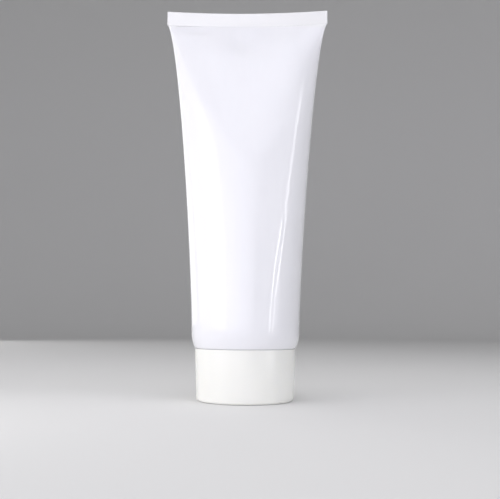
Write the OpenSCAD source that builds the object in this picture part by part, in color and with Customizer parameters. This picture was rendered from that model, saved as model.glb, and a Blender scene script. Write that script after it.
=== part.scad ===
// A soft squeeze tube that stands on its screw cap.
// The origin is at the middle of the cap's flat end, with +Z up along the tube's axis.
// The heat seal is flat along X, and -Y is the front.

/* [Sleeve] */
// Outer diameter of the sleeve where it is round
sleeve_d = 50; // [46:0.5:56]
// Wall thickness of the sleeve
sleeve_wall = 0.5; // [0.4:0.05:0.6]
// Height of the sleeve from its round end to the seal band
body_h = 146.8; // [110:0.1:180]
// Height of the heat-sealed band
seal_h = 6.7; // [4:0.1:10]
// Thickness of the two walls pressed together in the band
seal_t = 0.9; // [0.7:0.05:1.2]
// How much higher the band stands at its corners than at its middle
corner_rise = 1.35; // [0:0.05:3]
// How soon the round section starts to flatten: a lower value starts lower down
flatten_start = 1.6; // [1.2:0.05:2.5]

/* [Shoulder] */
// Radius of the sleeve's slow curve inwards above the cap
edge_bend_r = 18; // [14:0.5:22]
// Radius of the tight curve onto the shoulder
curl_r = 1.2; // [1:0.05:1.5]
// How far the sleeve's edge stands out past the cap's rim
edge_overhang = 0.25; // [0:0.05:0.35]
// Slope of the shoulder towards the neck, in degrees from the horizontal
shoulder_slope = 27; // [25:1:29]
// Length of the sleeve that lies on the sloping shoulder
lap_l = 1.5; // [1:0.1:2.5]
// Wall thickness of the moulded shoulder
shoulder_t = 1.3; // [1:0.1:1.6]

/* [Neck] */
// Outer diameter of the neck between the turns of its thread
neck_d = 16.2; // [15:0.1:17]
// Diameter of the bore through the neck
bore_d = 12; // [10:0.1:13]
// Diameter of the round outlet in the neck's end
outlet_d = 6; // [5:0.1:8]
// Thickness of the disc that the outlet goes through
outlet_t = 1.2; // [0.8:0.1:1.6]

/* [Thread] */
// Room that the thread takes up around the neck
thread_depth = 0.9; // [0.7:0.05:1]
// Space between that thread and the cap's socket, on the radius
thread_clearance = 0.3; // [0.2:0.05:0.4]

/* [Cap] */
// Height of the cap
cap_h = 23.6; // [22.5:0.1:26]
// How far in the cap's rim lies from the outside of the sleeve
rim_step = 1.75; // [1.5:0.05:2]
// How much the cap's radius narrows from its rim to its flat end
cap_taper = 0.9; // [0:0.05:1.5]
// Radius of the edge around the flat end
cap_edge_r = 1.5; // [0.8:0.1:2]
// Wall thickness of the cap's skirt
cap_wall = 1.3; // [1.2:0.05:1.5]
// Thickness of the cap's end disc
cap_end_t = 1.6; // [1.2:0.1:2]
// Depth of the shallow recess inside the ring that the cap stands on
recess_h = 0.6; // [0.3:0.1:1]
// Width of the ring that the cap stands on
foot_w = 3; // [2:0.5:6]
// Gap between the cap's rim and the sleeve
rim_gap = 0.7; // [0.6:0.05:0.8]
// Wall thickness of the threaded socket inside the cap
socket_wall = 1.4; // [1.2:0.1:1.8]
// Number of ribs between the socket and the skirt
rib_count = 8; // [6:1:12]
// Thickness of each rib
rib_t = 0.9; // [0.8:0.1:1.2]
// Thickness of the sealing disc inside the cap
liner_t = 1; // [0.8:0.1:1.2]
// Gap over and under the sealing disc
liner_gap = 0.03; // [0.02:0.01:0.06]

/* [Hidden] */

$fn = 128;

sleeve_r = sleeve_d / 2;
cap_rim_r = sleeve_r - rim_step;
cap_end_r = cap_rim_r - cap_taper;

// The sleeve turns in by this angle before the tight curve, just outside the cap's rim
bend_angle = acos(1 - (rim_step - edge_overhang) / edge_bend_r);
slope_angle = 90 - shoulder_slope;
round_z = cap_h + rim_gap + edge_bend_r * sin(bend_angle);
seal_z = round_z + body_h;

// The flat width holds the whole way round the sleeve's wall
seal_half_w = PI * (sleeve_d - sleeve_wall) / 4;

// Centres of the sleeve's two curves, seen in section
bend_c = [sleeve_r - edge_bend_r, round_z];
curl_c = bend_c + (edge_bend_r - curl_r) * [cos(bend_angle), -sin(bend_angle)];
down_slope = [-cos(shoulder_slope), -sin(shoulder_slope)];
slope_out = [sin(shoulder_slope), -cos(shoulder_slope)];
curl_end = curl_c + curl_r * slope_out;

// The moulded shoulder lies this far inside the sleeve, and its skirt reaches this far past the bend
fuse_gap = 0.05;
skirt_lap = 1;

neck_r = neck_d / 2;
bore_r = bore_d / 2;
outlet_r = outlet_d / 2;
crest_r = neck_r + thread_depth;
liner_clearance = 0.3;
seat_inset = 1;
socket_clearance = 0.6;
socket_chamfer = 0.4;
rib_drop = 2;
socket_r = crest_r + thread_clearance;
liner_r = socket_r - liner_clearance;
seat_r = liner_r - seat_inset;
seat_z = recess_h + cap_end_t;
seat_h = 0.8;
tip_z = seat_z + seat_h + liner_t + 2 * liner_gap;
socket_top_z = slope_z(socket_r) - socket_clearance;
rib_top_z = socket_top_z - rib_drop;

// The cap's rim: its outer chamfer, the end of its flat top and the depth of the relief inside it
rim_chamfer = 0.2;
rim_land = 0.3;
rim_relief = 1.3;

// Inner pieces of the cap sink this far into its end disc
weld = 0.5;
skirt_top_r = sleeve_r - sleeve_wall - fuse_gap;
skirt_top_z = round_z + skirt_lap;
skirt_t = 1;
tip_chamfer = 0.5;

// How the body's section changes from round to flat: powers of the height and of what is left of it
swell_start = 1.27;
swell_end = 0.385;

// How much sharper than an ellipse's the body's sides get, and how round the band's flat ends stay
fold_sharpness = 0.3;
band_roundness = 0.2;

// The room inside stops this far below the band, this far in from its ends and this thin
cavity_end_z = 0.4;
cavity_end_x = 1.5;
cavity_end_t = 0.2;

// Steps of the sleeve's mesh
facets = 80;
body_rings = 26;
cavity_rings = 18;
cavity_reach = 86;
curve_steps = 4;

// Height of the shoulder's outer face at radius r
function slope_z(r) = curl_end[1] - (curl_end[0] - r) * tan(shoulder_slope);

// Points on an arc that turns down and in, from one angle to the other
function edge_arc(centre, r, from, to, steps) =
    [for (i = [0 : steps]) let (a = from + (to - from) * i / steps) centre + r * [cos(a), -sin(a)]];

// The sleeve's lower edge in section, from its lap on the shoulder up to its round end
function lower_edge(inset) = concat(
    [curl_c + (curl_r - inset) * slope_out + lap_l * down_slope],
    edge_arc(curl_c, curl_r - inset, slope_angle, bend_angle, curve_steps),
    [for (i = [1 : curve_steps])
        let (a = bend_angle * (1 - i / curve_steps))
        bend_c + (edge_bend_r - inset) * [cos(a), -sin(a)]]);

// Half width of an ellipse that keeps the sleeve's way round at half depth b
function kept_girth(b) =
    let (p = 2 * sleeve_r, m = 8 * b - 6 * p, n = 6 * b * b - 6 * p * b + p * p)
    (-m + sqrt(m * m - 24 * n)) / 12;

// Half width and half depth of the body, where t runs from 0 at its round end to 1 at the seal
function half_width(t) =
    let (swell = kept_girth(sleeve_r * pow(1 - pow(t, swell_start), swell_end)))
    sleeve_r + (seal_half_w - sleeve_r) * (swell - sleeve_r) / (kept_girth(0) - sleeve_r);
function half_depth(t) = seal_t / 2 + (sleeve_r - seal_t / 2) * sqrt(1 - pow(t, flatten_start));

// One ring of points: q is 1 for an ellipse, more for sharper sides and less for flat faces
function ring(a, b, z, q, rise) = [for (k = [0 : facets - 1])
    let (x = a * cos(360 * k / facets), s = sin(360 * k / facets))
    [x, b * sign(s) * pow(abs(s), q), z + rise * pow(x / seal_half_w, 2)]];

// A ring of the body, with the wall's inset taken off inside
function body_ring(t, inset) = ring(
    half_width(t) - inset, half_depth(t) - inset, round_z + body_h * t,
    1 + fold_sharpness * pow(t, 3), corner_rise * pow(t, 4));

// Triangles between ring i and the next, and from the front half to the back half of ring i
function band(i, j) = [for (k = [0 : facets - 1])
    let (next = (k + 1) % facets)
    let (a = i * facets + k, b = i * facets + next, c = j * facets + next, d = j * facets + k)
    each [[a, d, c], [a, c, b]]];
function closing(i) = [for (k = [0 : facets / 2 - 1])
    let (a = i * facets + k, d = i * facets + (facets - k) % facets)
    let (b = a + 1, c = i * facets + facets - k - 1)
    each (k == 0 ? [[a, c, b]] : k == facets / 2 - 1 ? [[a, d, b]] : [[a, d, c], [a, c, b]])];

function reversed(faces) = [for (f = faces) [f[2], f[1], f[0]]];

module cap_shell() {
    top_in_r = cap_rim_r - cap_wall;
    low_in_r = cap_end_r - cap_wall;
    edge = edge_arc([cap_end_r - cap_edge_r, cap_edge_r], cap_edge_r, 90, 0, 6);
    rotate_extrude()
        polygon(concat(
            [[0, recess_h], [cap_end_r - cap_edge_r - foot_w, recess_h],
                [cap_end_r - cap_edge_r - foot_w + recess_h, 0]],
            edge,
            [[cap_rim_r, cap_h - rim_chamfer], [cap_rim_r - rim_chamfer, cap_h],
                [cap_rim_r - rim_land, cap_h], [top_in_r, cap_h - rim_relief],
                [low_in_r, seat_z], [0, seat_z]]));
}

module socket() {
    rotate_extrude()
        polygon([[socket_r, seat_z - weld], [socket_r + socket_wall, seat_z - weld],
            [socket_r + socket_wall, socket_top_z], [socket_r + socket_chamfer, socket_top_z],
            [socket_r, socket_top_z - socket_chamfer]]);
    // The low seat that carries the sealing disc
    translate([0, 0, seat_z - weld])
        cylinder(h = seat_h + weld, r = seat_r);
}

module screw_cap() {
    rib_from = socket_r + socket_wall / 2;
    rib_to = cap_end_r - cap_wall / 2;
    color("whitesmoke")
        union() {
            cap_shell();
            socket();
            for (i = [0 : rib_count - 1])
                rotate(360 * i / rib_count)
                    translate([rib_from, -rib_t / 2, seat_z - weld])
                        cube([rib_to - rib_from, rib_t, rib_top_z - seat_z + weld]);
        }
}

module cap_liner() {
    color("white")
        translate([0, 0, seat_z + seat_h + liner_gap])
            cylinder(h = liner_t, r = liner_r);
}

module shoulder_and_neck() {
    inset = sleeve_wall + fuse_gap;
    seat = lower_edge(inset);
    lap_end = curl_end + (lap_l + fuse_gap) * down_slope;
    inner_lift = shoulder_t / cos(shoulder_slope);
    skirt_in_r = skirt_top_r - skirt_t;
    color("white")
        rotate_extrude()
            polygon(concat(
                [[skirt_in_r, skirt_top_z], [skirt_in_r, slope_z(skirt_in_r) + inner_lift],
                    [bore_r, slope_z(bore_r) + inner_lift], [bore_r, tip_z + outlet_t],
                    [outlet_r, tip_z + outlet_t], [outlet_r, tip_z],
                    [neck_r - tip_chamfer, tip_z], [neck_r, tip_z + tip_chamfer],
                    [neck_r, slope_z(neck_r)], lap_end, lap_end - inset * slope_out],
                [for (i = [1 : len(seat) - 1]) seat[i]],
                [[skirt_top_r, skirt_top_z]]));
}

module tube_sleeve() {
    outer = concat(
        [for (p = lower_edge(0)) ring(p[0], p[0], p[1], 1, 0)],
        [for (i = [1 : body_rings - 1]) body_ring(sin(90 * i / body_rings), 0)],
        [for (z = [seal_z, seal_z + seal_h / 2, seal_z + seal_h])
            ring(seal_half_w, seal_t / 2, z, band_roundness, corner_rise)]);
    cavity = concat(
        [for (p = lower_edge(sleeve_wall)) ring(p[0], p[0], p[1], 1, 0)],
        [for (i = [1 : cavity_rings - 1]) body_ring(sin(cavity_reach * i / cavity_rings), sleeve_wall)],
        [ring(seal_half_w - cavity_end_x, cavity_end_t / 2, seal_z - cavity_end_z, 1, corner_rise)]);
    n_out = len(outer);
    n_all = n_out + len(cavity);
    faces = concat(
        [for (i = [0 : n_out - 2]) each band(i, i + 1)],
        closing(n_out - 1),
        reversed(concat(
            band(0, n_out),
            [for (i = [n_out : n_all - 2]) each band(i, i + 1)],
            closing(n_all - 1))));
    color("ghostwhite")
        polyhedron([for (r = concat(outer, cavity)) each r], faces, convexity = 6);
}

screw_cap();
cap_liner();
shoulder_and_neck();
tube_sleeve();
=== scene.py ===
"""A soft white squeeze tube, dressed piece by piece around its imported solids."""
import math

import bmesh
import bpy
from mathutils import Matrix, Vector


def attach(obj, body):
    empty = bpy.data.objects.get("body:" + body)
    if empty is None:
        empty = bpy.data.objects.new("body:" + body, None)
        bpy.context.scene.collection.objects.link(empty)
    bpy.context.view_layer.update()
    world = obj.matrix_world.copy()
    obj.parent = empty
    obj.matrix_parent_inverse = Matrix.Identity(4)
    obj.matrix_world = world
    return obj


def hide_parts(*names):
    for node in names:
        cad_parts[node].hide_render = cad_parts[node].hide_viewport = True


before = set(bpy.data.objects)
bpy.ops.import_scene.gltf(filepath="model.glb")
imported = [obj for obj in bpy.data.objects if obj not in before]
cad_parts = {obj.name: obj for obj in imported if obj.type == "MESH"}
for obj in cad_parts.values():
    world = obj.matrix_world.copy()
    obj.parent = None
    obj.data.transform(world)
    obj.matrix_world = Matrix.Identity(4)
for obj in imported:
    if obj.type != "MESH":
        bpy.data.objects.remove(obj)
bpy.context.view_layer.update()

MM = 0.001

# Sizes in millimetres, the same as the solids'
SLEEVE_R = 25.0
SLEEVE_WALL = 0.5
BODY_H = 146.8
SEAL_H = 6.7
SEAL_T = 0.9
CORNER_RISE = 1.35
EDGE_BEND_R = 18.0
EDGE_OVERHANG = 0.25
CURL_R = 1.2
SLOPE = math.radians(27)
LAP_L = 1.5
FUSE_GAP = 0.05
SKIRT_LAP = 1.0
SKIRT_T = 1.0
SHOULDER_T = 1.3
NECK_R = 8.1
BORE_R = 6.0
OUTLET_R = 3.0
OUTLET_T = 1.2
THREAD_DEPTH = 0.9
THREAD_CLEARANCE = 0.3
CAP_H = 23.6
CAP_RIM_R = 23.25
CAP_END_R = 22.35
CAP_EDGE_R = 1.5
CAP_WALL = 1.3
CAP_END_T = 1.6
RECESS_H = 0.6
FOOT_W = 3.0
RIM_GAP = 0.7
RIM_LAND = 0.3
RIM_RELIEF = 1.3
SOCKET_WALL = 1.4
SOCKET_CLEARANCE = 0.6
RIB_COUNT = 8
RIB_T = 0.9
RIB_DROP = 2.0
SEAT_SHELF = 1.3
SEAT_H = 0.8
LINER_T = 1.0
LINER_GAP = 0.03

# How the body's section changes from round to flat: powers of the height and of what is left of it
SWELL_START = 1.27
SWELL_END = 0.385
FLATTEN_START = 1.6

# Powers of a section's outline: 2 draws an ellipse, more a flatter face, less a sharper fold at each side
ROUND_POWER = 2
FLATTER_FACE = 1.0
SHARPER_FOLD = 0.45
BAND_POWER = 14

# Where the room inside ends: this far below the seal, in from its ends, and this deep
ROOM_END_Z = 0.4
ROOM_END_X = 1.5
ROOM_END_Y = 0.12

# Rings of the body's outer face and of its inner one, which ends a little lower
OUTER_RINGS = 72
INNER_RINGS = 34
INNER_REACH = 0.95

# How much higher the seal's right end stands than its middle, because the tube was sealed a little askew
SEAL_TILT = 0.5

# How much of its bulge the empty tube loses under the seal, where its faces run straight into the band
WEDGE_SHARE = 0.62
WEDGE_FADE = 10.0

# The sunken middle of the front under the seal: its place, reach, share of the bulge and fade downwards
DIMPLE_X = 2.0
DIMPLE_REACH = 24.0
DIMPLE_SHARE = 0.55
DIMPLE_FADE = 24.0

# The thread, which the solids leave out: 3 mm of rise a turn, as the joints' coupling has it
PITCH = 3.0
THREAD_TURNS = 2
THREAD_START = 2.4
RIDGE_ROOT = 1.5
RIDGE_CREST = 0.8
RIDGE_BURIED = 0.3

BEND = math.acos(1 - (SLEEVE_R - CAP_RIM_R - EDGE_OVERHANG) / EDGE_BEND_R)
ROUND_Z = CAP_H + RIM_GAP + EDGE_BEND_R * math.sin(BEND)
SEAL_Z = ROUND_Z + BODY_H
SEAL_HALF_W = math.pi * (2 * SLEEVE_R - SLEEVE_WALL) / 4
BEND_C = (SLEEVE_R - EDGE_BEND_R, ROUND_Z)
CURL_C = (
    BEND_C[0] + (EDGE_BEND_R - CURL_R) * math.cos(BEND),
    BEND_C[1] - (EDGE_BEND_R - CURL_R) * math.sin(BEND),
)
SOCKET_R = NECK_R + THREAD_DEPTH + THREAD_CLEARANCE
SEAT_Z = RECESS_H + CAP_END_T
SEAT_R = SOCKET_R - SEAT_SHELF
TIP_Z = SEAT_Z + SEAT_H + LINER_T + 2 * LINER_GAP

# Vertices round the turned and drawn pieces, and how near the middle plane one counts as on it
AROUND = 192
ON_MIDDLE = 1e-6

# Vertices closer than this are one, and faces that meet at less than this angle look smooth
WELD = 0.001
SMOOTH_ANGLE = math.radians(32)

# Where the lights aim, and how far away the narrow ones are, in metres
TUBE_MIDDLE = (0, 0, 0.1)
STRIP_AWAY = 0.8


def on_slope(along, inset=0):
    """A point on the shoulder's slope, that far in from the curl's end and that deep in the wall."""
    r = CURL_C[0] + (CURL_R - inset) * math.sin(SLOPE) - along * math.cos(SLOPE)
    z = CURL_C[1] - (CURL_R - inset) * math.cos(SLOPE) - along * math.sin(SLOPE)
    return r, z


def slope_z(r):
    """Height of the shoulder's outer face at radius r."""
    edge_r, edge_z = on_slope(0)
    return edge_z - (edge_r - r) * math.tan(SLOPE)


SOCKET_TOP_Z = slope_z(SOCKET_R) - SOCKET_CLEARANCE
RIB_TOP_Z = SOCKET_TOP_Z - RIB_DROP


def arc(centre, r, start, end, steps):
    """Points in section on an arc between two angles in degrees, where 0 points outwards and 90 up."""
    turns = [math.radians(start + (end - start) * i / steps) for i in range(steps + 1)]
    return [(centre[0] + r * math.cos(a), centre[1] + r * math.sin(a)) for a in turns]


def lower_edge(inset):
    """The sleeve's lower edge in section, from its lap on the shoulder up to its round end."""
    bend = math.degrees(BEND)
    curl = arc(CURL_C, CURL_R - inset, math.degrees(SLOPE) - 90, -bend, 5)
    slow = arc(BEND_C, EDGE_BEND_R - inset, -bend, 0, 9)
    return [on_slope(LAP_L, inset)] + curl + slow[1:]


def only(piece):
    """Leaves one object selected and active."""
    bpy.ops.object.select_all(action="DESELECT")
    piece.select_set(True)
    bpy.context.view_layer.objects.active = piece


def pick(piece, wanted, open_edges=False):
    """In edit mode, selects the vertices whose place passes the test, or only the open edges among them."""
    bpy.ops.mesh.select_all(action="DESELECT")
    mesh = bmesh.from_edit_mesh(piece.data)
    for edge in mesh.edges:
        if all(wanted(v.co) for v in edge.verts) and (edge.is_boundary or not open_edges):
            edge.select_set(True)
    if not open_edges:
        mesh.select_flush(True)
    bmesh.update_edit_mesh(piece.data)


def finished(piece, name, body, look):
    """Closes doubles, points the faces outwards, and names, paints and mounts a finished piece."""
    only(piece)
    bpy.ops.object.transform_apply(location=True, rotation=True, scale=True)
    bpy.ops.object.mode_set(mode="EDIT")
    bpy.ops.mesh.select_all(action="SELECT")
    bpy.ops.mesh.remove_doubles(threshold=WELD * MM)
    bpy.ops.mesh.normals_make_consistent(inside=False)
    bpy.ops.object.mode_set(mode="OBJECT")
    bpy.ops.object.shade_smooth_by_angle(angle=SMOOTH_ANGLE)
    piece.name = piece.data.name = name
    piece.data.materials.clear()
    piece.data.materials.append(look)
    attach(piece, body)
    return piece


def drawn(rings):
    """A skin drawn ring by ring from a circle, each a (half width, half depth, height) in millimetres."""
    wide, deep, high = rings[0]
    bpy.ops.object.select_all(action="DESELECT")
    bpy.ops.mesh.primitive_circle_add(vertices=AROUND, radius=MM, location=(0, 0, high * MM))
    piece = bpy.context.object
    bpy.ops.object.transform_apply(location=True)
    bpy.ops.object.mode_set(mode="EDIT")
    bpy.ops.mesh.select_all(action="SELECT")
    bpy.ops.transform.resize(value=(wide, deep, 1))
    for next_wide, next_deep, next_high in rings[1:]:
        rise = (0, 0, (next_high - high) * MM)
        bpy.ops.mesh.extrude_edges_move(TRANSFORM_OT_translate={"value": rise})
        bpy.ops.transform.resize(value=(next_wide / wide, next_deep / deep, 1))
        wide, deep, high = next_wide, next_deep, next_high
    bpy.ops.object.mode_set(mode="OBJECT")
    return piece


def close_ends(piece, heights):
    """Fills the open rings that lie about these heights, though a ring rises to its corners."""
    spare = 0.65
    rise = CORNER_RISE + SEAL_TILT + spare
    only(piece)
    bpy.ops.object.mode_set(mode="EDIT")
    for high in heights:
        pick(piece, lambda place: abs(place.z - high * MM) < rise * MM, open_edges=True)
        bpy.ops.mesh.fill()
    bpy.ops.object.mode_set(mode="OBJECT")


def turned(profile):
    """A round piece drawn from its profile, a list of (radius, height)."""
    return drawn([(r, r, z) for r, z in profile])


def srgb(code):
    """A hex colour as linear red, green, blue and alpha."""
    parts = [int(code[i:i + 2], 16) / 255 for i in (0, 2, 4)]
    return [p / 12.92 if p <= 0.04045 else ((p + 0.055) / 1.055) ** 2.4 for p in parts] + [1.0]


def add_node(tree, kind, settings=(), links=()):
    """Adds a node, sets its inputs or attributes by name and links its inputs from other sockets."""
    node = tree.nodes.new(kind)
    for key, value in dict(settings).items():
        if key in node.inputs:
            node.inputs[key].default_value = value
        else:
            setattr(node, key, value)
    for key, socket in dict(links).items():
        tree.links.new(socket, node.inputs[key])
    return node


def new_material(name, settings):
    """A material with a Principled shader of these settings; gives the material, its tree and the shader."""
    material = bpy.data.materials.new(name)
    material.use_nodes = True
    tree = material.node_tree
    shader = tree.nodes["Principled BSDF"]
    for key, value in settings.items():
        shader.inputs[key].default_value = value
    return material, tree, shader


def grain(tree, place, size, stretch=(1, 1, 1), detail=2):
    """Noise whose grains are about that many millimetres across, drawn out along an axis by stretch."""
    spread = add_node(tree, "ShaderNodeMapping", {"Scale": [1 / s for s in stretch]}, {"Vector": place})
    return add_node(
        tree, "ShaderNodeTexNoise", {"Scale": 1 / (size * MM), "Detail": detail},
        {"Vector": spread.outputs[0]},
    ).outputs["Fac"]


def lacquered_sleeve():
    """Extruded white LDPE under a clear gloss lacquer: a sharp thin reflection over a soft milky one."""
    material, tree, shader = new_material("lacquered_ldpe_sleeve", {
        "IOR": 1.51, "Roughness": 0.34, "Specular IOR Level": 0.2,
        "Coat Weight": 1.0, "Coat Roughness": 0.05, "Coat IOR": 1.5,
        "Subsurface Weight": 0.1, "Subsurface Radius": (1.0, 0.95, 0.9), "Subsurface Scale": 1.2 * MM,
    })
    place = add_node(tree, "ShaderNodeTexCoord").outputs["Object"]
    # The walls are drawn lengthwise, so their faint streaks are long and about 2 mm apart
    streaks = grain(tree, place, 2.2, stretch=(1, 1, 30))
    clouds = grain(tree, place, 26, detail=1)
    both = add_node(
        tree, "ShaderNodeMix", {"data_type": "FLOAT", "Factor": 0.35}, {"A": clouds, "B": streaks})
    tint = add_node(tree, "ShaderNodeValToRGB", links={"Fac": both.outputs[0]})
    tint.color_ramp.elements[0].color = srgb("F1F1F6")
    tint.color_ramp.elements[1].color = srgb("F7F7FB")
    # Pressed thin, the seal band holds less white and looks a touch greyer
    height = add_node(tree, "ShaderNodeSeparateXYZ", links={"Vector": place}).outputs["Z"]
    pressed = add_node(
        tree, "ShaderNodeMapRange", {"From Min": (SEAL_Z - 1) * MM, "From Max": (SEAL_Z + 1) * MM},
        {"Value": height})
    shade = add_node(
        tree, "ShaderNodeMix", {"data_type": "RGBA"},
        {"Factor": pressed.outputs["Result"], "A": tint.outputs["Color"]})
    shade.inputs["B"].default_value = srgb("F4F4F5")
    tree.links.new(shade.outputs["Result"], shader.inputs["Base Color"])
    relief = add_node(
        tree, "ShaderNodeBump", {"Strength": 0.10, "Distance": 0.05 * MM}, {"Height": streaks})
    tree.links.new(relief.outputs["Normal"], shader.inputs["Normal"])
    return material


def moulded_cap():
    """Injection-moulded PP with a fine spark-eroded satin face: broad dull reflections on a warmer white."""
    material, tree, shader = new_material("satin_moulded_pp", {
        "IOR": 1.49, "Specular IOR Level": 0.45, "Subsurface Weight": 0.3,
        "Subsurface Radius": (1.0, 0.95, 0.85), "Subsurface Scale": 1.5 * MM,
    })
    place = add_node(tree, "ShaderNodeTexCoord").outputs["Object"]
    # The real grain is about 0.1 mm, drawn at 0.5 mm so that it shows
    pits = grain(tree, place, 0.5)
    flow = grain(tree, place, 14, stretch=(1, 1, 3), detail=1)
    tint = add_node(tree, "ShaderNodeValToRGB", links={"Fac": flow})
    tint.color_ramp.elements[0].color = srgb("F5F5EF")
    tint.color_ramp.elements[1].color = srgb("F7F7F2")
    tree.links.new(tint.outputs["Color"], shader.inputs["Base Color"])
    dull = add_node(
        tree, "ShaderNodeMapRange", {"To Min": 0.17, "To Max": 0.25}, {"Value": pits})
    tree.links.new(dull.outputs["Result"], shader.inputs["Roughness"])
    relief = add_node(
        tree, "ShaderNodeBump", {"Strength": 0.12, "Distance": 0.02 * MM}, {"Height": pits})
    tree.links.new(relief.outputs["Normal"], shader.inputs["Normal"])
    return material


def moulded_neck():
    """Compression-moulded HDPE, waxy and slightly see-through, with faint rings from the tool."""
    material, tree, shader = new_material("waxy_moulded_hdpe", {
        "IOR": 1.54, "Subsurface Weight": 0.25,
        "Subsurface Radius": (1.0, 0.95, 0.9), "Subsurface Scale": 2 * MM,
    })
    place = add_node(tree, "ShaderNodeTexCoord").outputs["Object"]
    clouds = grain(tree, place, 6)
    tint = add_node(tree, "ShaderNodeValToRGB", links={"Fac": clouds})
    tint.color_ramp.elements[0].color = srgb("ECECEA")
    tint.color_ramp.elements[1].color = srgb("F3F3F1")
    tree.links.new(tint.outputs["Color"], shader.inputs["Base Color"])
    dull = add_node(tree, "ShaderNodeMapRange", {"To Min": 0.3, "To Max": 0.42}, {"Value": clouds})
    tree.links.new(dull.outputs["Result"], shader.inputs["Roughness"])
    rings = add_node(
        tree, "ShaderNodeTexWave",
        {"wave_type": "RINGS", "rings_direction": "Z", "Scale": 1 / (2.2 * MM), "Distortion": 0.4},
        {"Vector": place})
    relief = add_node(
        tree, "ShaderNodeBump", {"Strength": 0.15, "Distance": 0.02 * MM},
        {"Height": rings.outputs["Fac"]})
    tree.links.new(relief.outputs["Normal"], shader.inputs["Normal"])
    return material


def foamed_liner():
    """Sheet of foamed PE: matt, with closed cells about 0.4 mm across."""
    material, tree, shader = new_material("closed_cell_pe_foam", {
        "IOR": 1.5, "Roughness": 0.7, "Specular IOR Level": 0.35,
    })
    place = add_node(tree, "ShaderNodeTexCoord").outputs["Object"]
    cells = add_node(
        tree, "ShaderNodeTexVoronoi", {"Scale": 1 / (0.4 * MM)}, {"Vector": place}).outputs["Distance"]
    tint = add_node(tree, "ShaderNodeValToRGB", links={"Fac": cells})
    tint.color_ramp.elements[0].color = srgb("F0F0EE")
    tint.color_ramp.elements[1].color = srgb("E2E2DF")
    tree.links.new(tint.outputs["Color"], shader.inputs["Base Color"])
    relief = add_node(
        tree, "ShaderNodeBump", {"Strength": 0.4, "Distance": 0.05 * MM, "invert": True},
        {"Height": cells})
    tree.links.new(relief.outputs["Normal"], shader.inputs["Normal"])
    return material


def kept_girth(deep):
    """Half width of an ellipse with that half depth, when the way round it stays that of the sleeve."""
    girth = 2 * SLEEVE_R
    m = 8 * deep - 6 * girth
    n = 6 * deep ** 2 - 6 * girth * deep + girth ** 2
    return (-m + math.sqrt(m * m - 24 * n)) / 12


def body_size(t):
    """Half width and half depth of the body, where t is 0 at its round end and 1 at the seal."""
    swell = kept_girth(SLEEVE_R * (1 - t ** SWELL_START) ** SWELL_END) - SLEEVE_R
    wide = SLEEVE_R + (SEAL_HALF_W - SLEEVE_R) * swell / (kept_girth(0) - SLEEVE_R)
    return wide, SEAL_T / 2 + (SLEEVE_R - SEAL_T / 2) * math.sqrt(1 - t ** FLATTEN_START)


def body_rings(count, inset, reach):
    """Rings of the body from its round end up, closer together towards the seal."""
    rings = []
    for i in range(1, count):
        t = math.sin(math.pi / 2 * reach * i / count)
        wide, deep = body_size(t)
        rings.append((wide - inset, deep - inset, ROUND_Z + BODY_H * t))
    return rings


def bulge_left(x, below, front):
    """Share of the solid's bulge that a face keeps at x, that far below the band."""
    left = 1 - WEDGE_SHARE * math.exp(-below / WEDGE_FADE)
    if front:
        across = min(1, abs(x - DIMPLE_X) / DIMPLE_REACH)
        sunken = math.cos(math.pi / 2 * across) ** 2 * math.exp(-below / DIMPLE_FADE)
        left *= 1 - DIMPLE_SHARE * sunken
    return left


def press_faces(sleeve, rings):
    """Presses the oval rings towards the seal: flatter faces that meet in a sharper fold at each side."""
    for i, (wide, deep, high) in enumerate(rings):
        t = min(1, max(0, (high - ROUND_Z) / BODY_H))
        face_power = ROUND_POWER + FLATTER_FACE * t ** 3
        fold_power = ROUND_POWER - SHARPER_FOLD * t ** 3
        if high >= SEAL_Z:
            fold_power = BAND_POWER
        for vertex in sleeve.data.vertices[i * AROUND:(i + 1) * AROUND]:
            place = vertex.co
            across = min(1, abs(place.x / MM) / wide)
            if abs(place.y) > ON_MIDDLE * MM:
                half = deep * MM * (1 - across ** face_power) ** (1 / fold_power)
                place.y = math.copysign(half, place.y)
            bulge = abs(place.y) - SEAL_T / 2 * MM
            if bulge > 0 and high < SEAL_Z:
                left = bulge_left(place.x / MM, SEAL_Z - high, place.y < 0)
                place.y = math.copysign(SEAL_T / 2 * MM + bulge * left, place.y)
            share = place.x / MM / SEAL_HALF_W
            place.z += (CORNER_RISE * share ** 2 + SEAL_TILT * share) * t ** 4 * MM


def dent(sleeve, x, z, reach, depth, side=-1):
    """Presses the front (side -1) or the back (side 1) in softly at a place, all in millimetres."""
    only(sleeve)
    bpy.ops.object.mode_set(mode="EDIT")
    pick(sleeve, lambda place: place.y * side <= 0 or place.z > (SEAL_Z - 0.05) * MM)
    bpy.ops.mesh.hide()
    mesh = bmesh.from_edit_mesh(sleeve.data)
    spot = Vector((x * MM, 0, z * MM))
    shown = [v for v in mesh.verts if not v.hide]

    # Of the vertices about that place, those of the outer face lie further from the middle plane
    def away(vertex):
        return (Vector((vertex.co.x, 0, vertex.co.z)) - spot).length - 0.1 * abs(vertex.co.y)

    min(shown, key=away).select_set(True)
    bmesh.update_edit_mesh(sleeve.data)
    bpy.ops.transform.translate(
        value=(0, -side * depth * MM, 0), use_proportional_edit=True,
        proportional_edit_falloff="SMOOTH", proportional_size=reach * MM)
    bpy.ops.mesh.reveal(select=False)
    bpy.ops.object.mode_set(mode="OBJECT")


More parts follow.
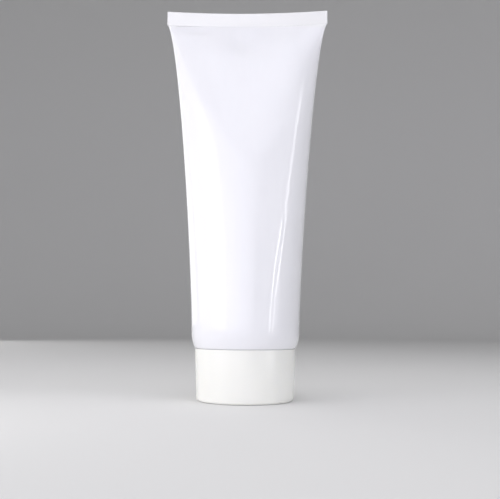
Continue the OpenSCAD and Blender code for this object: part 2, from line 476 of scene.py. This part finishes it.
def draw_sleeve(look):
    """The soft sleeve in one skin: up the inside of its wall, round its lower end and out to the seal."""
    inside = [(r, r, z) for r, z in lower_edge(SLEEVE_WALL)]
    inside += body_rings(INNER_RINGS, SLEEVE_WALL, INNER_REACH)
    inside.append((SEAL_HALF_W - ROOM_END_X, ROOM_END_Y, SEAL_Z - ROOM_END_Z))
    outside = [(r, r, z) for r, z in lower_edge(0)] + body_rings(OUTER_RINGS, 0, 1)
    # The band stands up from a crisp fold, and its cut edge is eased
    band = [(SEAL_HALF_W, SEAL_T / 2, SEAL_Z + rise) for rise in (0, 0.15, SEAL_H - 0.12)]
    band.append((SEAL_HALF_W - 0.1, SEAL_T / 2 - 0.15, SEAL_Z + SEAL_H))
    rings = inside[::-1] + outside + band
    sleeve = drawn(rings)
    press_faces(sleeve, rings)
    close_ends(sleeve, [SEAL_Z - ROOM_END_Z, SEAL_Z + SEAL_H])
    # The front has a pucker under the band's left end, a dent at its middle and a swelling at its right
    pucker = [(-32, 1.3, 0.7), (-27.5, 2, 1.0), (-23, 2.9, 0.9), (-18.5, 3.7, 0.5)]
    for x, below, depth in pucker:
        dent(sleeve, x, SEAL_Z - below, 5, depth)
    dent(sleeve, -1.5, SEAL_Z - 10, 9.5, 0.8)
    dent(sleeve, 17, SEAL_Z - 11, 11, -0.4)
    # The back has two soft dents of its own
    dent(sleeve, 14, SEAL_Z - 7, 12, 0.8, side=1)
    dent(sleeve, -18, SEAL_Z - 12, 14, 0.7, side=1)
    finished(sleeve, "tube_skin", "tube", look)
    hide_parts("tube_sleeve")


def draw_neck(look):
    """Shoulder and neck: the skirt and slope that the sleeve is fused to, the neck and its outlet disc."""
    inset = SLEEVE_WALL + FUSE_GAP
    skirt_r = SLEEVE_R - inset
    root, lip, tip = 0.8, 0.25, 0.5
    lift = SHOULDER_T / math.cos(SLOPE)
    profile = [(OUTLET_R, TIP_Z + lip)]
    profile += arc((OUTLET_R + lip, TIP_Z + lip), lip, 180, 270, 3)[1:]
    profile += arc((NECK_R - tip, TIP_Z + tip), tip, -90, 0, 4)
    # The neck runs into the slope in a soft root
    profile += [(NECK_R, slope_z(NECK_R) - root), (NECK_R + 0.2, slope_z(NECK_R) - 0.25 * root)]
    profile += [(NECK_R + 0.7, slope_z(NECK_R + 0.7)), on_slope(LAP_L + FUSE_GAP)]
    profile += [on_slope(LAP_L + FUSE_GAP, inset)] + lower_edge(inset)[1:]
    profile += [(skirt_r, ROUND_Z + SKIRT_LAP - 0.2), (skirt_r - 0.2, ROUND_Z + SKIRT_LAP)]
    profile += [(skirt_r - SKIRT_T, ROUND_Z + SKIRT_LAP)]
    profile += [(skirt_r - SKIRT_T, slope_z(skirt_r - SKIRT_T) + lift), (BORE_R, slope_z(BORE_R) + lift)]
    profile += [(BORE_R, TIP_Z + OUTLET_T), (OUTLET_R, TIP_Z + OUTLET_T), (OUTLET_R, TIP_Z + lip)]
    neck = finished(turned(profile), "neck_moulding", "tube", look)
    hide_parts("shoulder_and_neck")


def draw_cap(look):
    """The cap in one moulding: foot ring, skirt, threaded socket, the liner's seat and the ribs."""
    low_in_r = CAP_END_R - CAP_WALL
    foot_r = CAP_END_R - CAP_EDGE_R - FOOT_W
    socket_out_r = SOCKET_R + SOCKET_WALL
    corner = 0.25
    # The recess and the foot ring
    profile = [(2, RECESS_H), (foot_r - 0.2, RECESS_H), (foot_r, RECESS_H - 0.06)]
    profile += [(foot_r + 0.5, 0.06), (foot_r + 0.7, 0)]
    # The outside, where a fine line runs round between the rounded edge and the side
    profile += arc((CAP_END_R - CAP_EDGE_R, CAP_EDGE_R), CAP_EDGE_R, -90, -8, 8)
    profile += [(CAP_END_R - 0.09, CAP_EDGE_R + 0.02), (CAP_END_R, CAP_EDGE_R + 0.1)]
    profile += [(CAP_END_R + 0.1, 4)]
    profile += arc((CAP_RIM_R - corner, CAP_H - corner), corner, 0, 90, 4)
    # The rim and the skirt's inside
    profile += [(CAP_RIM_R - RIM_LAND, CAP_H), (CAP_RIM_R - CAP_WALL, CAP_H - RIM_RELIEF)]
    profile += [(low_in_r + 0.03, SEAT_Z + 0.6), (low_in_r - 0.5, SEAT_Z)]
    # The socket and the liner's seat in it
    profile += [(socket_out_r + 0.4, SEAT_Z), (socket_out_r, SEAT_Z + 0.4)]
    profile += [(socket_out_r, SOCKET_TOP_Z - 0.2), (socket_out_r - 0.2, SOCKET_TOP_Z)]
    profile += [(SOCKET_R + 0.4, SOCKET_TOP_Z), (SOCKET_R, SOCKET_TOP_Z - 0.4)]
    profile += [(SOCKET_R, SEAT_Z), (SEAT_R, SEAT_Z), (SEAT_R, SEAT_Z + SEAT_H - 0.15)]
    profile += [(SEAT_R - 0.15, SEAT_Z + SEAT_H), (2, SEAT_Z + SEAT_H)]
    cap = turned(profile)
    only(cap)
    bpy.ops.object.mode_set(mode="EDIT")
    for high in (RECESS_H, SEAT_Z + SEAT_H):
        pick(cap, lambda place: abs(place.z - high * MM) < 0.1 * MM, open_edges=True)
        bpy.ops.mesh.edge_face_add()
    bpy.ops.object.mode_set(mode="OBJECT")
    ribs = [draw_rib(360 * i / RIB_COUNT) for i in range(RIB_COUNT)]
    bpy.ops.object.select_all(action="DESELECT")
    for piece in ribs + [cap]:
        piece.select_set(True)
    bpy.context.view_layer.objects.active = cap
    bpy.ops.object.join()
    finished(cap, "cap_moulding", "cap", look)
    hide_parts("screw_cap")


def draw_rib(turn):
    """One upright rib between the cap's socket and its skirt, with its top edges eased."""
    inner = SOCKET_R + SOCKET_WALL / 2
    outer = CAP_END_R - CAP_WALL / 2
    low, high = SEAT_Z - 0.3, RIB_TOP_Z
    middle = Vector(((inner + outer) / 2, 0, (low + high) / 2))
    bpy.ops.object.select_all(action="DESELECT")
    bpy.ops.mesh.primitive_cube_add(size=MM, location=middle * MM)
    rib = bpy.context.object
    rib.scale = (outer - inner, RIB_T, high - low)
    bpy.ops.object.transform_apply(location=True, rotation=False, scale=True)
    bpy.ops.object.mode_set(mode="EDIT")
    pick(rib, lambda place: place.z > (high - 0.1) * MM)
    bpy.ops.mesh.bevel(offset=0.2 * MM, segments=2)
    bpy.ops.object.mode_set(mode="OBJECT")
    rib.rotation_euler.z = math.radians(turn)
    bpy.ops.object.transform_apply(location=False, rotation=True, scale=False)
    return rib


def draw_thread(name, body, look, root_r, grow, low):
    """A screw thread of two turns that grows out of radius root_r, or in when grow is -1."""
    steps, run_out = 64, 4
    width = THREAD_DEPTH + RIDGE_BURIED
    middle = root_r + grow * (THREAD_DEPTH - RIDGE_BURIED) / 2
    bpy.ops.object.select_all(action="DESELECT")
    bpy.ops.mesh.primitive_plane_add(
        size=MM, location=(middle * MM, 0, low * MM), rotation=(math.pi / 2, 0, 0))
    ridge = bpy.context.object
    ridge.scale = (width, RIDGE_ROOT, 1)
    bpy.ops.object.transform_apply(location=True, rotation=True, scale=True)
    bpy.ops.object.mode_set(mode="EDIT")
    pick(ridge, lambda place: grow * (place.x - middle * MM) > 0)
    bpy.ops.transform.resize(value=(1, 1, RIDGE_CREST / RIDGE_ROOT))
    bpy.ops.mesh.select_all(action="SELECT")
    bpy.ops.mesh.delete(type="ONLY_FACE")
    bpy.ops.object.mode_set(mode="OBJECT")
    turn = ridge.modifiers.new("turn", "SCREW")
    turn.axis, turn.angle, turn.screw_offset = "Z", 2 * math.pi, PITCH * MM
    turn.iterations, turn.steps, turn.render_steps = THREAD_TURNS, steps, steps
    bpy.ops.object.modifier_apply(modifier=turn.name)
    bpy.ops.object.mode_set(mode="EDIT")
    for end in (low, low + PITCH * THREAD_TURNS):
        def near(place):
            return abs(place.z - end * MM) < RIDGE_ROOT * MM and place.x > 0
        pick(ridge, near, open_edges=True)
        bpy.ops.mesh.edge_face_add()
        # The ridge runs out softly into the wall
        bpy.ops.transform.translate(
            value=(-grow * THREAD_DEPTH * MM, 0, 0), use_proportional_edit=True,
            use_proportional_connected=True, proportional_edit_falloff="SMOOTH",
            proportional_size=run_out * MM)
    bpy.ops.object.mode_set(mode="OBJECT")
    finished(ridge, name, body, look)


def light(name, place, aim, width, height, power, colour, spread=180):
    """A soft flat light of that size in metres; a narrow spread in degrees fades it towards its edges."""
    lamp = bpy.data.lights.new(name, "AREA")
    lamp.shape, lamp.size, lamp.size_y = "RECTANGLE", width, height
    lamp.energy, lamp.color, lamp.spread = power, srgb(colour)[:3], math.radians(spread)
    holder = bpy.data.objects.new(name, lamp)
    holder.location = place
    holder.rotation_euler = (Vector(aim) - Vector(place)).to_track_quat("-Z", "Y").to_euler()
    bpy.context.collection.objects.link(holder)
    return holder


def strip(name, path, width, radiance):
    """Narrow lights end to end, through directions from the tube: azimuths from its front and elevations."""
    middle = Vector(TUBE_MIDDLE)
    points = []
    for azimuth, elevation in path:
        turn, lift = math.radians(azimuth), math.radians(elevation)
        points.append(middle + STRIP_AWAY * Vector((math.sin(turn), -math.cos(turn), math.tan(lift))))
    for number, (low, high) in enumerate(zip(points, points[1:])):
        along = high - low
        place = (low + high) / 2
        power = radiance * math.pi * width * along.length
        holder = light(f"{name}_{number}", place, middle, width, along.length, power, "FFFFFF")
        back = (holder.location - middle).normalized()
        side = along.cross(back).normalized()
        holder.rotation_euler = Matrix((side, back.cross(side), back)).transposed().to_euler()


def studio_paper():
    """A pale round sweep: the floor, and a wall that rises far behind the tube on every side."""
    floor_r, bend_r, wall_h = 1400.0, 700.0, 1900.0
    profile = [(20, 0), (300, 0), (floor_r, 0)]
    profile += arc((floor_r, bend_r), bend_r, -90, 0, 12)[1:] + [(floor_r + bend_r, wall_h)]
    sweep = turned(profile)
    only(sweep)
    bpy.ops.object.mode_set(mode="EDIT")
    pick(sweep, lambda place: place.z < MM, open_edges=True)
    bpy.ops.mesh.edge_face_add()
    bpy.ops.mesh.select_all(action="SELECT")
    bpy.ops.mesh.normals_make_consistent(inside=True)
    bpy.ops.object.mode_set(mode="OBJECT")
    bpy.ops.object.shade_smooth()
    sweep.name = "studio_sweep"
    paper = new_material("matt_grey_paper", {
        "Base Color": srgb("E4E4E4"), "Roughness": 0.9, "Specular IOR Level": 0.2,
    })[0]
    sweep.data.materials.append(paper)


def studio_lights():
    """Soft light, mostly from the left, narrow lights for the gloss lines on the right, and a dim room."""
    # The first is the broad soft reflection on the left, and the next is the fainter one beside it
    light("key", (-0.55, -1.0, 0.40), (0, 0, 0.40), 2.2, 0.78, 3.45, "F5F3FF", spread=110)
    light(
        "right_front", (0.752, -0.859, 0.33), (-0.188, -0.517, 0.33), 1.1, 0.62, 0.8, "F6F6FF", spread=100)
    # The tube is brightest on its left, and from behind the light comes from there as well
    light("left_wall", (-0.88, -0.23, 0.30), TUBE_MIDDLE, 1.4, 0.6, 2.85, "FFFEFD")
    light("left_back", (-0.71, 0.71, 0.40), TUBE_MIDDLE, 0.7, 0.8, 1.8, "FFFEFD")
    light("right_back", (0.71, 0.71, 0.40), TUBE_MIDDLE, 0.7, 0.8, 0.15, "FCFCFA")
    light("top", (0.3, -0.8, 1.0), TUBE_MIDDLE, 1.4, 0.8, 1.2, "F3F3FF", spread=120)
    # Brightens the floor in front, which throws light up under the sleeve's lower edge
    floor_light = light("floor_light", (0, -0.2, 1.3), (0, -0.2, 0), 0.8, 0.8, 0.8, "FFFEFD", spread=60)
    # Stands close to the cap on its left, so that the tube is brighter there than higher up
    low_light = light("low_light", (-0.17, -0.10, 0.05), (0, 0, 0.03), 0.10, 0.07, 0.036, "FFFEFD")
    for unseen in (floor_light, low_light):
        unseen.visible_glossy = False
    # The bright line on the sleeve's right, which parts into two lines lower down
    strip("strip_near", [(49, -8), (51.5, -1), (55.5, 4.5), (63.5, 9.8)], 0.030, 6.5)
    strip("strip_far", [(56.5, -8), (61, 0), (67.5, 4), (74, 9.8)], 0.026, 6)
    strip("strip_both", [(69, 10), (72, 14), (71, 24)], 0.09, 3.2)
    strip("strip_top", [(71, 24), (70, 27.5)], 0.06, 2)
    sky = bpy.data.worlds.new("pale_room")
    sky.use_nodes = True
    sky.node_tree.nodes["Background"].inputs["Color"].default_value = srgb("E9E9E8")
    sky.node_tree.nodes["Background"].inputs["Strength"].default_value = 0.37
    bpy.context.scene.world = sky


def camera():
    """The photograph's view: close, a little above the cap's end and looking slightly up."""
    # The photograph's width and the focal length in its pixels, then how far the view looks up and leans
    photo_w_px = 500
    focal_px = 700.3
    lift, roll = math.radians(6.06), math.radians(-0.33)
    lens = bpy.data.cameras.new("camera")
    lens.sensor_width = 36
    lens.lens = focal_px / photo_w_px * lens.sensor_width
    lens.clip_start = 0.01
    view = bpy.data.objects.new("camera", lens)
    view.location = (0.0021, -0.3272, 0.0349)
    view.rotation_euler = (math.pi / 2 + lift, roll, 0)
    bpy.context.collection.objects.link(view)
    bpy.context.scene.camera = view


sleeve_look = lacquered_sleeve()
cap_look = moulded_cap()
neck_look = moulded_neck()
foam_look = foamed_liner()

draw_sleeve(sleeve_look)
draw_neck(neck_look)
draw_cap(cap_look)
neck_thread_z = TIP_Z + THREAD_START
draw_thread("neck_thread", "tube", neck_look, NECK_R, 1, neck_thread_z)
draw_thread("cap_thread", "cap", cap_look, SOCKET_R, -1, neck_thread_z + PITCH / 2)
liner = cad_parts["cap_liner"]
for material_slot in liner.material_slots:
    material_slot.material = foam_look

studio_paper()
studio_lights()
camera()
bpy.context.scene.view_settings.view_transform = "Standard"
